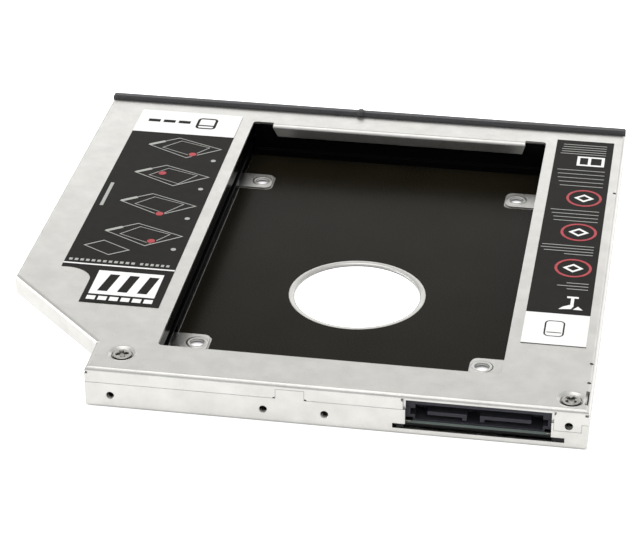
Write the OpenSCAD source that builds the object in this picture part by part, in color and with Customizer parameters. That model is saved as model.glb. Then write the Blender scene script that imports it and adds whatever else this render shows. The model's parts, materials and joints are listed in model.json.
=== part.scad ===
// Drive caddy in the outline of a slim optical drive.
// A pressed aluminium tray and cover hold one 2.5 inch drive in an open well.
// A board behind the well turns the drive's socket into the plug at the rear.
// Origin: centre of the underside. X to the right seen from the rear, Y to the front, Z up.

/* [Shell] */
// Width of the cover between the wing and the well
left_land = 13; // [11:0.1:16]
// Width of the cover on the right of the well
right_land = 18.7; // [17:0.1:22]
// Length of the cover in front of the well
front_land = 8.1; // [7:0.1:12]
// Height of the closed shell
shell_h = 9.5; // [9.2:0.1:12.7]
// Thickness of the pressed sheet
sheet_t = 0.6; // [0.5:0.05:0.7]
// Outer radius of every bend
bend_r = 0.9; // [0.8:0.05:1.2]
// Gap between sheets that slide over each other
sheet_gap = 0.1; // [0.08:0.01:0.15]
// Gap along the seam between tray and cover
seam_gap = 0.05; // [0.04:0.01:0.12]
// Height of the seam between tray and cover
seam_z = 6.1; // [5.6:0.1:6.6]

/* [Wing] */
// Width of the shallow wing that overhangs on the left
wing_w = 24.3; // [20:0.1:27]
// Height of the wing, measured down from the top
wing_h = 4.5; // [4:0.1:5]
// Distance from the rear face to the start of the corner cut
wing_rear = 34.8; // [30:0.1:45]

/* [Well] */
// Room beside the drive, on each side
side_room = 1.04; // [0.8:0.02:2]
// Room in front of the drive
front_room = 4.8; // [2:0.1:6]
// Distance from the rear face to the opening
well_rear = 11.2; // [11:0.1:12.4]
// Radius of the opening's corners
well_r = 1; // [0.5:0.1:3]
// Distance from each side of the opening to the flange at its front
flange_inset = 5; // [3:0.5:16]
// Depth of that flange below the top
flange_h = 3; // [2:0.1:4]

/* [Drive] */
// Distance from the well's centre line to the drive's, to the left
drive_shift = 0.3; // [0:0.1:0.6]
// Distance from the rear face to the drive's connector end
drive_rear = 13.1; // [12.9:0.1:14]
// Distance between the drive's screw holes across
screw_pitch_x = 61.72; // [60:0.01:63]
// Distance between the drive's screw holes along
screw_pitch_y = 76.6; // [70:0.1:80]
// Distance from the connector end to the first screw hole
screw_first = 14; // [12:0.1:16]
// Distance from the last screw hole to the drive's other end
screw_last = 9.4; // [8:0.1:12]
// Distance from the screw holes to the drive's sides
screw_side = 4.1; // [3.8:0.1:4.5]
// Diameter of the screw holes
screw_hole_d = 3.2; // [3:0.1:3.6]
// Diameter of the recess that hides each screw head
screw_recess_d = 6; // [5.6:0.1:6.4]

/* [Pads] */
// Length of a raised pad along the well
pad_l = 6.8; // [6.6:0.1:9]
// Distance from the screw hole to the pad's inner end
pad_reach = 2.5; // [2.3:0.1:4]
// Height of a pad above the floor
pad_rise = 0.5; // [0.4:0.05:0.7]
// Height of the rail's window over a pad, above the tray's underside
window_z = 3.3; // [2.6:0.1:3.5]

/* [Round hole] */
// Diameter of the hole in the floor
round_d = 30; // [20:0.5:34]
// Distance from the rear face to its centre
round_rear = 53.7; // [48:0.1:60]

/* [Lining] */
// Thickness of the insulating film
film_t = 0.15; // [0.1:0.01:0.25]
// Gap between the film and the edges around it
film_gap = 0.3; // [0.2:0.1:0.8]
// Thickness of the guide rails
rail_t = 2.2; // [2:0.1:2.6]
// Height of the groove along a rail, above the tray's underside
groove_z = 4; // [3.8:0.1:4.4]
// Width of that groove
groove_h = 1.6; // [1.2:0.1:1.8]
// Depth of that groove
groove_d = 0.8; // [0.5:0.1:1]

/* [Board] */
// Thickness of the adapter board
board_t = 0.8; // [0.6:0.1:1]
// Height of the board's underside
board_z = 1.7; // [1.6:0.1:1.9]
// Distance from the rear face to the board's rear edge
board_rear = 1; // [0.9:0.1:1.2]
// Depth of the board behind the plug
board_l = 10.6; // [10:0.1:11]
// Distance from the drive socket to the middle of the screw on its left
screw_room = 4.6; // [4.2:0.1:5]
// Depth of the board's narrow stretch behind the drive socket
strip_l = 8; // [7.8:0.1:8.2]

/* [Rear plug] */
// Distance that the plug's housing reaches behind the wall beside the opening
port_lap = 0.6; // [0.4:0.1:1]
// Height of the opening's lower edge
port_z = 1.8; // [1.7:0.1:2]
// Height of the opening
port_h = 6.6; // [6.2:0.1:6.7]
// Width of the plug's housing
plug_w = 30.8; // [30.2:0.1:31]
// Depth of the plug's housing
plug_l = 7.2; // [6:0.1:7.6]
// Room between the plug's housing and the cover
plug_room = 1.4; // [1.2:0.1:2]
// Distance from the plug's housing to the right-hand post
plug_post_gap = 1.15; // [0.8:0.05:1.6]
// Distance from the rear face to the plug's mouth
plug_rear = 2; // [1.9:0.1:2.4]
// Width of the signal tongue
signal_w = 8; // [7.6:0.1:8.4]
// Width of the power tongue
power_w = 10.4; // [9.6:0.1:10.8]
// Thickness of both tongues
tongue_t = 0.85; // [0.8:0.05:1.1]

/* [Drive socket] */
// Width of the socket's housing
socket_w = 37.2; // [36:0.1:38]
// Depth of the socket's housing
socket_l = 9; // [8.4:0.1:9.2]
// Height of the socket's housing
socket_h = 4.4; // [4:0.1:4.6]
// Distance from the drive's centre line to the socket's centre
socket_off = 13.4; // [13:0.1:13.8]
// Distance that the socket reaches into the drive
socket_reach = 2.4; // [2:0.1:2.6]
// Distance between neighbouring contacts
contact_pitch = 1.27; // [1.2:0.01:1.3]

/* [Screws] */
// Diameter of the cover screws' heads
head_d = 4; // [3.6:0.1:4.2]
// Height of the screw heads
head_h = 0.45; // [0.4:0.05:0.5]
// Diameter of the screws' shanks
shank_d = 1.9; // [1.8:0.05:2]
// Diameter of the threaded posts
post_d = 3.5; // [3.3:0.1:3.6]
// Radius of the tapped holes in the rear wall
tapped_r = 0.85; // [0.8:0.05:0.95]
// Height of the tapped holes
tapped_z = 3.2; // [3.1:0.1:3.5]
// Distance from the body's left side to the first tapped hole
tapped_first = 5.3; // [4:0.1:6]
// Distance from the first tapped hole to the second
tapped_second = 32.1; // [28:0.1:34]
// Distance from the second tapped hole to the third
tapped_third = 12.7; // [11:0.1:14]

/* [Bezel] */
// Thickness of the front bezel
bezel_t = 1.5; // [1.2:0.1:3]
// Height that the bezel rises above the shell
bezel_rise = 0.9; // [0.5:0.1:1.2]

/* [Labels] */
// Thickness of the labels
label_t = 0.1; // [0.08:0.01:0.15]
// Thickness of the printed fields
print_t = 0.04; // [0.03:0.01:0.05]
// Distance from the wing's side to the left label
left_label_edge = 9; // [8:0.1:12]
// Distance from the left label to the well
left_label_gap = 3.1; // [2:0.1:5]
// Distance from the well to the right label
right_label_gap = 2.6; // [2:0.1:4]
// Distance from the right label to the shell's side
right_label_edge = 2.4; // [2:0.1:4]

/* [Hidden] */

$fn = 48;
eps = 0.01;
big = 400;

// The drive settles the size of the well, and the well that of the shell
drive_l = screw_first + screw_pitch_y + screw_last;
well_w = screw_pitch_x + 2 * (screw_side + side_room);
well_l = drive_rear + drive_l + front_room - well_rear;
shell_w = wing_w + left_land + well_w + right_land;
shell_l = well_rear + well_l + front_land;

// Limits of the shell in plan. The bezel counts in the part's depth.
rear_y = -(shell_l + bezel_t) / 2;
front_y = rear_y + shell_l;
right_x = shell_w / 2;
left_x = -shell_w / 2;
body_left = left_x + wing_w;
corner_y = rear_y + wing_rear;
corner_end = corner_y - wing_w;
wing_z = shell_h - wing_h;

// Layers of the shell
floor_z = sheet_t;
roof_z = shell_h - sheet_t;
wall_top = roof_z - sheet_gap;
step_in = sheet_t + sheet_gap;

// The well and the drive in it
well_x0 = body_left + left_land;
well_x1 = well_x0 + well_w;
well_x = (well_x0 + well_x1) / 2;
drive_x = well_x - drive_shift;
well_y0 = rear_y + well_rear;
well_y1 = well_y0 + well_l;
drive_y0 = rear_y + drive_rear;
screw_ys = [drive_y0 + screw_first, drive_y0 + screw_first + screw_pitch_y];
screw_xs = [drive_x - screw_pitch_x / 2, drive_x + screw_pitch_x / 2];
pad_z = floor_z + pad_rise;
pad_r = 1.6;
lug_gap = 0.2;
lug_top = roof_z - 0.4;
lug_r = 1.5;
round_y = rear_y + round_rear;
floor_recess_z = pad_z - sheet_t;

// The rails stand beside the well, a little behind the cover's edge
rail_set = 0.2;
rail_x0 = well_x0 - rail_set;
rail_x1 = well_x1 + rail_set;
rail_y0 = rear_y + board_rear + board_l + 0.4;
rail_lip = 0.3;
stop_y = well_y1 + sheet_t + 0.25;
stop_t = 2.2;
rail_foot = 3.6;

// Posts under the cover screws
left_post = [body_left + 6.5, rear_y + 6.75];
right_post = [right_x - 3.9, rear_y + 4.15];
posts = [left_post, right_post];

// The board and what stands on it
board_y0 = rear_y + board_rear;
board_y1 = board_y0 + board_l;
strip_y0 = board_y1 - strip_l;
board_top = board_z + board_t;
plug_right = right_post[0] - post_d / 2 - plug_post_gap;
plug_x = plug_right - plug_w / 2;
plug_h = roof_z - board_top - plug_room;
port_w = plug_w - 2 * port_lap;
port_left = plug_x - port_w / 2;
port_right = plug_x + port_w / 2;
plug_y0 = rear_y + plug_rear;
board_right = plug_x + plug_w / 2 + 0.4;
ear_left = port_left - 1.7;
ear_right = port_right + 2.6;
ear_slot_gap = 0.15;
socket_x = drive_x - socket_off;
socket_y1 = drive_y0 + socket_reach;
socket_y0 = socket_y1 - socket_l;
tail_l = 0.9;

// Fastenings
dish_depth = 0.5;
dish_z = shell_h - dish_depth;
dish_d = head_d + 1.6;
post_top = dish_z - sheet_t;
board_screw_y = board_y1 - 2.4;
board_gap_x = (socket_x + socket_w / 2 + plug_x - plug_w / 2) / 2;
board_screw_xs = [socket_x - socket_w / 2 - screw_room, board_gap_x];
board_left = board_screw_xs[0] - 3;
board_boss_d = 4.6;
tapped_x = body_left + tapped_first;
tapped_xs = [tapped_x, tapped_x + tapped_second, tapped_x + tapped_second + tapped_third];
tapped_depth = 1.2;
tab_x0 = tapped_xs[1] + 2.6;
tab_x1 = tab_x0 + 5.9;
port_skirt_gap = 0.5;
rear_tab_z = 4.3;
rear_tab_x0 = port_right + port_skirt_gap;
rear_tab_x1 = right_x - step_in - sheet_t - seam_gap;
tab_top = shell_h - bend_r - 0.3;
rear_tab_hole = [right_post[0], 5.6];
notch_r = 0.3;
relief_r = 0.5;

// A bezel hook goes through each of these places in the tray's front wall: [x, z]
hook_w = 4;
hook_t = 1.2;
hook_reach = 3.2;
hooks = [[left_x + 12, wing_z + 1.4], [-7, 6.4], [right_x - 12, 6.4]];

// Labels, as distances from the shell's edges
left_label_x = left_x + left_label_edge;
left_label_w = well_x0 - left_label_gap - left_label_x;
left_head_l = 12;
left_black_l = 66.8;
left_label_y1 = front_y - 5.3;
left_head_y = left_label_y1 - left_head_l;
left_line_y = left_head_y - left_black_l;
left_tab_x = left_label_x + 7.6;
left_label_y0 = left_line_y - 15.9;
right_label_x = well_x1 + right_label_gap;
right_label_w = right_x - right_label_edge - right_label_x;
right_label_y1 = front_y - 5.4;
right_black_l = 83.3;
right_white_l = 12.8;
right_white_y = right_label_y1 - right_black_l;
label_z = shell_h;
print_z = label_z + label_t;

metal = "#c9cac6";
plastic = "#222224";
film_black = "#302f2c";
gold = "#c8a04a";
steel = "#b4b4b0";
ink_white = "#f2f2f0";

// General shapes

// Rectangle with round corners, from its lowest to its highest corner
module round_rect(p, q, r) {
  w = q[0] - p[0];
  h = q[1] - p[1];
  translate(p) {
    translate([r, 0]) square([w - 2 * r, h]);
    translate([0, r]) square([w, h - 2 * r]);
    for (x = [r, w - r], y = [r, h - r]) translate([x, y]) circle(r);
  }
}

// Box from its lowest to its highest corner
module block(p, q) {
  translate(p) cube(q - p);
}

// Half space behind a vertical face, with its lower edge bent to radius r.
// The face goes through point p, and the solid lies on the side that angle a points to.
module bent_side(p, a, z0, z1, r) {
  translate([p[0], p[1], 0]) rotate([0, 0, a]) rotate([90, 0, 0])
    linear_extrude(big, center = true) {
      translate([r, z0]) square([big, z1 - z0]);
      translate([0, z0 + r]) square([big, z1 - z0 - r]);
      translate([r, z0 + r]) circle(r);
    }
}

// Convex slab whose outer faces lie at the sides given, each as [point, angle]
module bent_slab(sides, z0, z1, r) {
  intersection_for (s = sides) bent_side(s[0], s[1], z0, z1, r);
}

// Sides of the deep body, moved inwards by d
function body_sides(d) = [
  [[body_left + d, 0], 0],
  [[right_x - d, 0], 180],
  [[0, rear_y + d], 90],
  [[0, front_y - d], 270]
];

// Sides of the wing, moved inwards by d, and its front side by f
function wing_sides(d, f) = [
  [[left_x + d, 0], 0],
  [[left_x + d * sqrt(2), corner_y], 45],
  [[0, front_y - f], 270]
];

module body_solid(d, z0, z1, r) {
  bent_slab(body_sides(d), z0, z1, r);
}

// The wing reaches into the body by wing_root
wing_root = 4;

module wing_solid(d, f, z0, z1, r) {
  intersection() {
    bent_slab(wing_sides(d, f), z0, z1, r);
    block([left_x, rear_y, z0], [body_left + wing_root, front_y, z1]);
  }
}

// The same two solids with the bend at their upper edge
module body_lid(d, z1, r) {
  translate([0, 0, z1]) mirror([0, 0, 1]) body_solid(d, 0, z1, r);
}

module wing_lid(d, z1, r) {
  translate([0, 0, z1]) mirror([0, 0, 1]) wing_solid(d, d, 0, z1, r);
}

// Repeat at the four drive screws. Each pad's inner end points to the well's middle.
module at_drive_screws() {
  for (y = screw_ys) {
    translate([screw_xs[0], y, 0]) children();
    translate([screw_xs[1], y, 0]) mirror([1, 0, 0]) children();
  }
}

// Tray

// Distance from a drive screw out to the lug behind the rail, on the left and the right
function lug_out(i) = (i == 0 ? screw_xs[0] - rail_x0 : rail_x1 - screw_xs[1]) + rail_t + lug_gap;

// Raised pad with its screw hole at the origin. The lug stands at x = -out.
module pad_raise(out) {
  block([-out - sheet_t, -pad_l / 2, 0], [pad_reach - pad_r, pad_l / 2, pad_z]);
  for (y = [-pad_l / 2 + pad_r, pad_l / 2 - pad_r])
    translate([pad_reach - pad_r, y, 0]) cylinder(r = pad_r, h = pad_z);
  block([0, -pad_l / 2 + pad_r, 0], [pad_reach, pad_l / 2 - pad_r, pad_z]);
}

// Upright lug that backs the rail, its upper corners rounded
module pad_lug(out) {
  translate([-out - sheet_t, 0, 0]) rotate([90, 0, 90]) linear_extrude(sheet_t) {
    translate([-pad_l / 2, 0]) square([pad_l, lug_top - lug_r]);
    translate([-pad_l / 2 + lug_r, 0]) square([pad_l - 2 * lug_r, lug_top]);
    for (y = [-pad_l / 2 + lug_r, pad_l / 2 - lug_r]) translate([y, lug_top - lug_r]) circle(lug_r);
  }
}

module pads_all() {
  for (y = screw_ys) {
    translate([screw_xs[0], y, 0]) {
      pad_raise(lug_out(0));
      pad_lug(lug_out(0));
    }
    translate([screw_xs[1], y, 0]) mirror([1, 0, 0]) {
      pad_raise(lug_out(1));
      pad_lug(lug_out(1));
    }
  }
}

// Wall that steps inwards behind the cover's skirt, along the rear face
module rear_step(x0, x1, z) {
  block([x0, rear_y, z - seam_gap - sheet_t], [x1, rear_y + step_in + sheet_t, z - seam_gap]);
  block([x0, rear_y + step_in, z - seam_gap - eps], [x1, rear_y + step_in + sheet_t, wall_top]);
}

// Room that the cover's skirt takes up outside such a wall
module rear_room(x0, x1, z) {
  block([x0, rear_y - 1, z - seam_gap], [x1, rear_y + step_in, shell_h]);
}

module side_step(z) {
  x = right_x - step_in - sheet_t;
  block([x, rear_y, z - seam_gap - sheet_t], [right_x, front_y, z - seam_gap]);
  block([x, rear_y + step_in, z - seam_gap - eps], [x + sheet_t, front_y, wall_top]);
}

module left_step(z) {
  y1 = corner_end + (step_in + sheet_t) * sqrt(2);
  x = body_left + step_in;
  block([body_left, rear_y, z - seam_gap - sheet_t], [x + sheet_t, y1, z - seam_gap]);
  block([x, rear_y + step_in, z - seam_gap - eps], [x + sheet_t, y1, wall_top]);
}

module tray_shell() {
  difference() {
    union() {
      body_solid(0, 0, wall_top, bend_r);
      wing_solid(step_in, 0, wing_z, wall_top, bend_r);
    }
    body_solid(sheet_t, floor_z, shell_h, bend_r - sheet_t);
    wing_solid(step_in + sheet_t, sheet_t, wing_z + sheet_t, shell_h, bend_r - sheet_t);
    rear_room(left_x, tab_x0, seam_z);
    rear_room(tab_x0 - eps, tab_x1 + eps, tab_top);
    rear_room(tab_x1, right_x + 1, seam_z);
    rear_room(rear_tab_x0 - seam_gap, rear_tab_x1 + seam_gap, rear_tab_z);
    block([right_x - step_in, rear_y - 1, seam_z - seam_gap], [right_x + 1, front_y + 1, shell_h]);
    block([left_x - 1, rear_y - 1, seam_z - seam_gap],
          [body_left + step_in, corner_end + step_in * sqrt(2), shell_h]);
  }
  intersection() {
    union() {
      rear_step(body_left + step_in, tab_x0, seam_z);
      rear_step(tab_x1, rear_tab_x0 - seam_gap, seam_z);
      rear_step(rear_tab_x1 + seam_gap, right_x - step_in, seam_z);
      rear_step(rear_tab_x0 - seam_gap - sheet_t, right_x - step_in, rear_tab_z);
      side_step(seam_z);
      left_step(seam_z);
      for (x = [tab_x0, tab_x1 - sheet_t])
        block([x, rear_y, floor_z], [x + sheet_t, rear_y + step_in + sheet_t, tab_top - seam_gap]);
    }
    body_solid(0, 0, wall_top, bend_r);
  }
}

module base_tray() {
  color(metal) difference() {
    union() {
      tray_shell();
      pads_all();
      for (x = board_screw_xs)
        translate([x, board_screw_y, 0]) cylinder(d = board_boss_d, h = board_z);
      for (x = tapped_xs)
        translate([x, rear_y, tapped_z]) rotate([-90, 0, 0])
          cylinder(r = tapped_r + 0.5, h = tapped_depth);
    }
    at_drive_screws() {
      translate([0, 0, -1]) cylinder(d = screw_hole_d, h = pad_z + 2);
      translate([0, 0, -1]) cylinder(d = screw_recess_d, h = floor_recess_z + 1);
    }
    translate([drive_x, round_y, -1]) cylinder(d = round_d, h = floor_z + 2, $fn = 96);
    for (x = board_screw_xs) translate([x, board_screw_y, -1]) {
      cylinder(d = shank_d + 0.1, h = board_z + 2);
      cylinder(d = shank_d + 1.4, h = board_z - sheet_t + 1);
    }
    for (x = tapped_xs)
      translate([x, rear_y - 1, tapped_z]) rotate([-90, 0, 0])
        cylinder(r = tapped_r, h = tapped_depth + 2);
    translate([rear_tab_hole[0], rear_y - 1, rear_tab_hole[1]]) rotate([-90, 0, 0])
      cylinder(r = tapped_r, h = 3);
    block([port_left, rear_y - 1, port_z], [port_right, rear_y + 2, port_z + port_h]);
    block([port_left - 2.6, rear_y - 1, board_z - ear_slot_gap],
          [ear_right + ear_slot_gap, rear_y + sheet_t + 0.2, board_top + ear_slot_gap]);
    for (h = hooks)
      block([h[0] - hook_w / 2 - 0.2, front_y - 2, h[1] - 0.2],
            [h[0] + hook_w / 2 + 0.2, front_y + 1, h[1] + hook_t + 0.2]);
  }
}

// Cover

// Flange bent down at the front edge of the well, with its ends cut slanting
module cover_flange() {
  flange_l = well_w - 2 * flange_inset;
  x0 = well_x0 + flange_inset;
  slant = 1.2;
  r_in = bend_r - sheet_t;
  intersection() {
    translate([x0, 0, 0]) rotate([90, 0, 90]) linear_extrude(flange_l) {
      translate([well_y1 - sheet_t, shell_h - flange_h]) square([sheet_t, flange_h - bend_r]);
      translate([well_y1 + r_in, roof_z]) square([1.4, sheet_t]);
      intersection() {
        translate([well_y1 + r_in, shell_h - bend_r]) difference() {
          circle(bend_r);
          circle(r_in);
        }
        translate([well_y1 - sheet_t, shell_h - bend_r]) square([bend_r, bend_r]);
      }
    }
    rotate([-90, 0, 0]) linear_extrude(big) polygon([
      [x0 - 1, -shell_h - 1], [x0 + flange_l + 1, -shell_h - 1],
      [x0 + flange_l, -shell_h + bend_r], [x0 + flange_l - slant / 2, -shell_h + flange_h],
      [x0 + slant, -shell_h + flange_h], [x0, -shell_h + bend_r]
    ]);
  }
}

module cover_shell() {
  difference() {
    union() {
      body_lid(0, shell_h, bend_r);
      wing_lid(0, shell_h, bend_r);
    }
    body_lid(sheet_t, roof_z, bend_r - sheet_t);
    wing_lid(sheet_t, roof_z, bend_r - sheet_t);
    // Below the skirts: the rear and right ones end at the seam, the wing's near its floor
    block([body_left - eps, rear_y - 1, -1], [rear_tab_x0, front_y + 1, seam_z]);
    block([port_right, rear_y + 2, -1], [right_x + 1, front_y + 1, seam_z]);
    block([rear_tab_x1, rear_y - 1, -1], [right_x + 1, front_y + 1, seam_z]);
    block([port_right, rear_y - 1, -1], [right_x + 1, front_y, rear_tab_z]);
    block([left_x - 1, rear_y - 1, -1], [body_left + 4, front_y + 1, wing_z + 0.2]);
    block([left_x - 1, rear_y - 1, -1], [body_left + 4, corner_end - 0.4, seam_z]);
    // The front is open, and the bezel closes it
    block([left_x + sheet_t, front_y - 1.2, -1], [right_x - sheet_t, front_y + 1, roof_z]);
  }
}

module top_cover() {
  color(metal) difference() {
    union() {
      cover_shell();
      for (p = posts) translate([p[0], p[1], post_top + eps])
        cylinder(d = dish_d - 0.6, h = roof_z - post_top);
    }
    // The well
    difference() {
      translate([0, 0, -1]) linear_extrude(shell_h + 2)
        round_rect([well_x0, well_y0], [well_x1, well_y1 + bend_r], well_r);
      cover_flange();
    }
    // Dished seats of the two screws
    for (p = posts) translate([p[0], p[1], 0]) {
      translate([0, 0, dish_z]) cylinder(d1 = head_d + 0.3, d2 = dish_d + 0.2, h = dish_depth + eps);
      translate([0, 0, roof_z - 2]) cylinder(d = shank_d + 0.5, h = 4);
    }
    // The skirt is open at the tray's tab and above the plug
    block([tab_x0 - seam_gap, rear_y - 1, -1], [tab_x1 + seam_gap, rear_y + step_in, tab_top]);
    // Small notches in the seam at both ends of the tab
    for (x = [tab_x0 - 0.3, tab_x1 + 0.3])
      translate([x, rear_y - 1, seam_z]) rotate([-90, 0, 0]) cylinder(r = notch_r, h = 1 + sheet_t);
    block([port_left - port_skirt_gap, rear_y - 1, -1],
          [port_right + port_skirt_gap, rear_y + 2, port_z + port_h]);
    for (x = [port_left - port_skirt_gap, port_right + port_skirt_gap])
      translate([x, rear_y - 1, port_z + port_h]) rotate([-90, 0, 0]) cylinder(r = 0.45, h = 3);
    translate([rear_tab_hole[0], rear_y - 1, rear_tab_hole[1]]) rotate([-90, 0, 0])
      cylinder(r = tapped_r, h = 3);
    // Corner reliefs of the bends
    for (x = [body_left + 0.3, right_x - 0.3])
      translate([x, rear_y + 0.3, shell_h - bend_r - relief_r]) cylinder(r = relief_r, h = relief_r);
    translate([body_left + 0.2, corner_end - 0.3, roof_z - 2]) cylinder(r = relief_r, h = 4);
    // Small relief cuts along the right-hand bend
    block([right_x - 1.1, rear_y + 2.4, roof_z - 1], [right_x - 0.4, rear_y + 7.6, shell_h + 1]);
    for (y = [rear_y + 10.8, rear_y + 18.3, front_y - 31.2])
      translate([right_x - 0.8, y, roof_z - 1]) cylinder(r = 0.4, h = 3);
    // Notch where a bezel hook shows
    block([hooks[1][0] - 0.8, front_y - 0.9, roof_z - 1], [hooks[1][0] + 0.6, front_y + 1, shell_h + 1]);
  }
  color(metal) cover_flange();
}

// Threaded posts, pressed into the tray's floor, that take the cover screws
module cover_posts() {
  color(steel) for (p = posts) translate([p[0], p[1], floor_z])
    difference() {
      cylinder(d = post_d, h = post_top - floor_z);
      translate([0, 0, 1]) cylinder(d = shank_d + 0.1, h = post_top);
    }
}

// Countersunk cross recess, one bar of it
module cross_bar(l, w) {
  translate([-l / 2, -w / 2, 0]) cube([l, w, 1]);
}

module cover_screws() {
  color(steel) for (p = posts) translate([p[0], p[1], 0]) difference() {
    union() {
      translate([0, 0, dish_z]) cylinder(d = head_d, h = head_h);
      translate([0, 0, post_top - 3.2]) cylinder(d = shank_d, h = dish_z - post_top + 3.2 + eps);
    }
    translate([0, 0, dish_z + head_h - 0.3]) {
      cross_bar(2.4, 0.6);
      rotate([0, 0, 90]) cross_bar(2.4, 0.6);
    }
  }
}

// Lining of the well

module insulating_film() {
  x0 = rail_x0 + film_gap / 2;
  x1 = rail_x1 - film_gap / 2;
  y0 = board_y1 + film_gap;
  y1 = stop_y - 0.9;
  color(film_black) translate([0, 0, floor_z]) linear_extrude(film_t) difference() {
    round_rect([x0, y0], [x1, y1], 1);
    translate([drive_x, round_y]) circle(d = round_d + 2 * film_gap, $fn = 96);
    for (y = screw_ys) {
      round_rect([x0 - 3, y - pad_l / 2 - film_gap],
                 [screw_xs[0] + pad_reach + film_gap, y + pad_l / 2 + film_gap], 1.5);
      round_rect([screw_xs[1] - pad_reach - film_gap, y - pad_l / 2 - film_gap],
                 [x1 + 3, y + pad_l / 2 + film_gap], 1.5);
    }
  }
}

// Section of a rail: its face at x = 0, its back at x = -rail_t, a groove along it
module rail_section() {
  top = roof_z - 0.1;
  polygon([
    [-rail_t - rail_foot, floor_z], [0, floor_z],
    [0, groove_z - 0.4], [rail_lip, groove_z - 0.3], [rail_lip, groove_z],
    [-groove_d, groove_z + 0.15], [-groove_d, groove_z + groove_h - 0.2],
    [0, groove_z + groove_h], [0, top],
    [-rail_t, top], [-rail_t, floor_z + 0.9], [-rail_t - rail_foot, floor_z + 0.9]
  ]);
}

// Straight rail, its face towards +x, with ribs at its back. A window lets each pad through,
// and the lug at the pad's end stands behind the rail.
module rail(face_x) {
  rib_pitch = 14;
  rib_n = 7;
  difference() {
    union() {
      translate([face_x, rail_y0, 0]) rotate([90, 0, 0]) mirror([0, 0, 1])
        linear_extrude(stop_y + stop_t - rail_y0) rail_section();
      for (i = [0:rib_n - 1])
        translate([face_x - rail_t, rail_y0 + 4 + i * rib_pitch, floor_z]) rotate([90, 0, 0])
          linear_extrude(1) polygon([[0.1, 0], [-rail_foot + 0.4, 0], [0.1, roof_z - floor_z - 1]]);
    }
    for (y = screw_ys) {
      y0 = y - pad_l / 2 - lug_gap;
      y1 = y + pad_l / 2 + lug_gap;
      block([face_x - rail_t - eps, y0, 0], [face_x + 1, y1, window_z]);
      block([face_x - rail_t - rail_foot - 1, y0, 0], [face_x - rail_t, y1, shell_h]);
    }
  }
}

module left_rail() {
  color(plastic) rail(rail_x0);
}

module right_rail() {
  color(plastic) translate([rail_x1 + rail_x0, 0, 0]) mirror([1, 0, 0]) rail(rail_x0);
}

// Bar that closes the front of the well, with a low ledge along it
module front_stop() {
  x0 = rail_x0 + rail_lip + 0.1;
  x1 = rail_x1 - rail_lip - 0.1;
  ledge_z = 2.4;
  ledge_d = 0.7;
  color(plastic) {
    block([x0, stop_y, floor_z], [x1, stop_y + 1.2, roof_z - 0.1]);
    block([x0, stop_y - ledge_d, floor_z], [x1, stop_y + eps, ledge_z]);
    block([x0, stop_y + 1.2 - eps, floor_z], [x1, stop_y + stop_t, floor_z + 0.9]);
    for (i = [0:5])
      block([x0 + 4 + i * 12, stop_y + 1.2 - eps, floor_z], [x0 + 5 + i * 12, stop_y + stop_t, 6]);
  }
}

// Board

module adapter_board() {
  color("#1d5a38") difference() {
    translate([0, 0, board_z]) linear_extrude(board_t) union() {
      translate([board_left, strip_y0]) square([board_right - board_left, strip_l]);
      translate([port_left - 3, board_y0]) square([board_right - port_left + 3, board_l]);
      translate([ear_left, rear_y + 0.1]) square([1.4, board_rear + 0.6]);
      translate([port_right + 0.2, rear_y + 0.1])
        square([ear_right - port_right - 0.2, board_rear + 0.6]);
    }
    for (x = board_screw_xs)
      translate([x, board_screw_y, 0]) cylinder(d = shank_d + 0.3, h = 5);
    for (p = posts) translate([p[0], p[1], 0]) cylinder(d = post_d + 0.5, h = 5);
  }
}

module board_screws() {
  color(steel) for (x = board_screw_xs) translate([x, board_screw_y, 0]) difference() {
    union() {
      translate([0, 0, board_top]) cylinder(d = 3.4, h = 1);
      translate([0, 0, floor_z]) cylinder(d = shank_d, h = board_top - floor_z + eps);
    }
    translate([0, 0, board_top + 0.6]) {
      cross_bar(2, 0.5);
      rotate([0, 0, 90]) cross_bar(2, 0.5);
    }
  }
}

// Small ceramic capacitors: a body between two metal ends
module chip(x, y, turn) {
  translate([x, y, board_top]) rotate([0, 0, turn]) block([-0.8, -0.4, 0], [0.8, 0.4, 0.7]);
}

module chip_capacitors() {
  behind_y = (strip_y0 + socket_y0 - tail_l) / 2;
  color("#b79a72") {
    chip(board_gap_x - 2.6, strip_y0 + 1.2, 0);
    chip(board_gap_x + 2.6, strip_y0 + 1.2, 0);
    chip(board_gap_x + 3.4, board_y1 - 1.2, 90);
    chip(socket_x - 9, behind_y, 0);
    chip(socket_x + 6, behind_y, 0);
  }
}

// Rear plug

// Places of the two tongues, from the plug's left end
cavity_side = 2.4;
cavity_x0 = plug_x - plug_w / 2 + cavity_side;
cavity_x1 = plug_x + plug_w / 2 - cavity_side;
cavity_z0 = board_top + 0.4;
cavity_z1 = board_top + plug_h - 1.1;
cavity_l = 4.6;
tongue_z = board_top + 1.4;
signal_x = cavity_x0 + 2.5;
power_x = cavity_x1 - 2.4 - power_w;
tongue_back = plug_y0 + cavity_l;
tongue_front = plug_y0 + 0.3;

// One tongue of the plug, with its short leg at one end
module tongue(x, w, leg_x) {
  block([x, tongue_front, tongue_z], [x + w, tongue_back + eps, tongue_z + tongue_t]);
  block([leg_x, tongue_front, tongue_z - 0.7], [leg_x + 0.9, tongue_back + eps, tongue_z + eps]);
}

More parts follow.
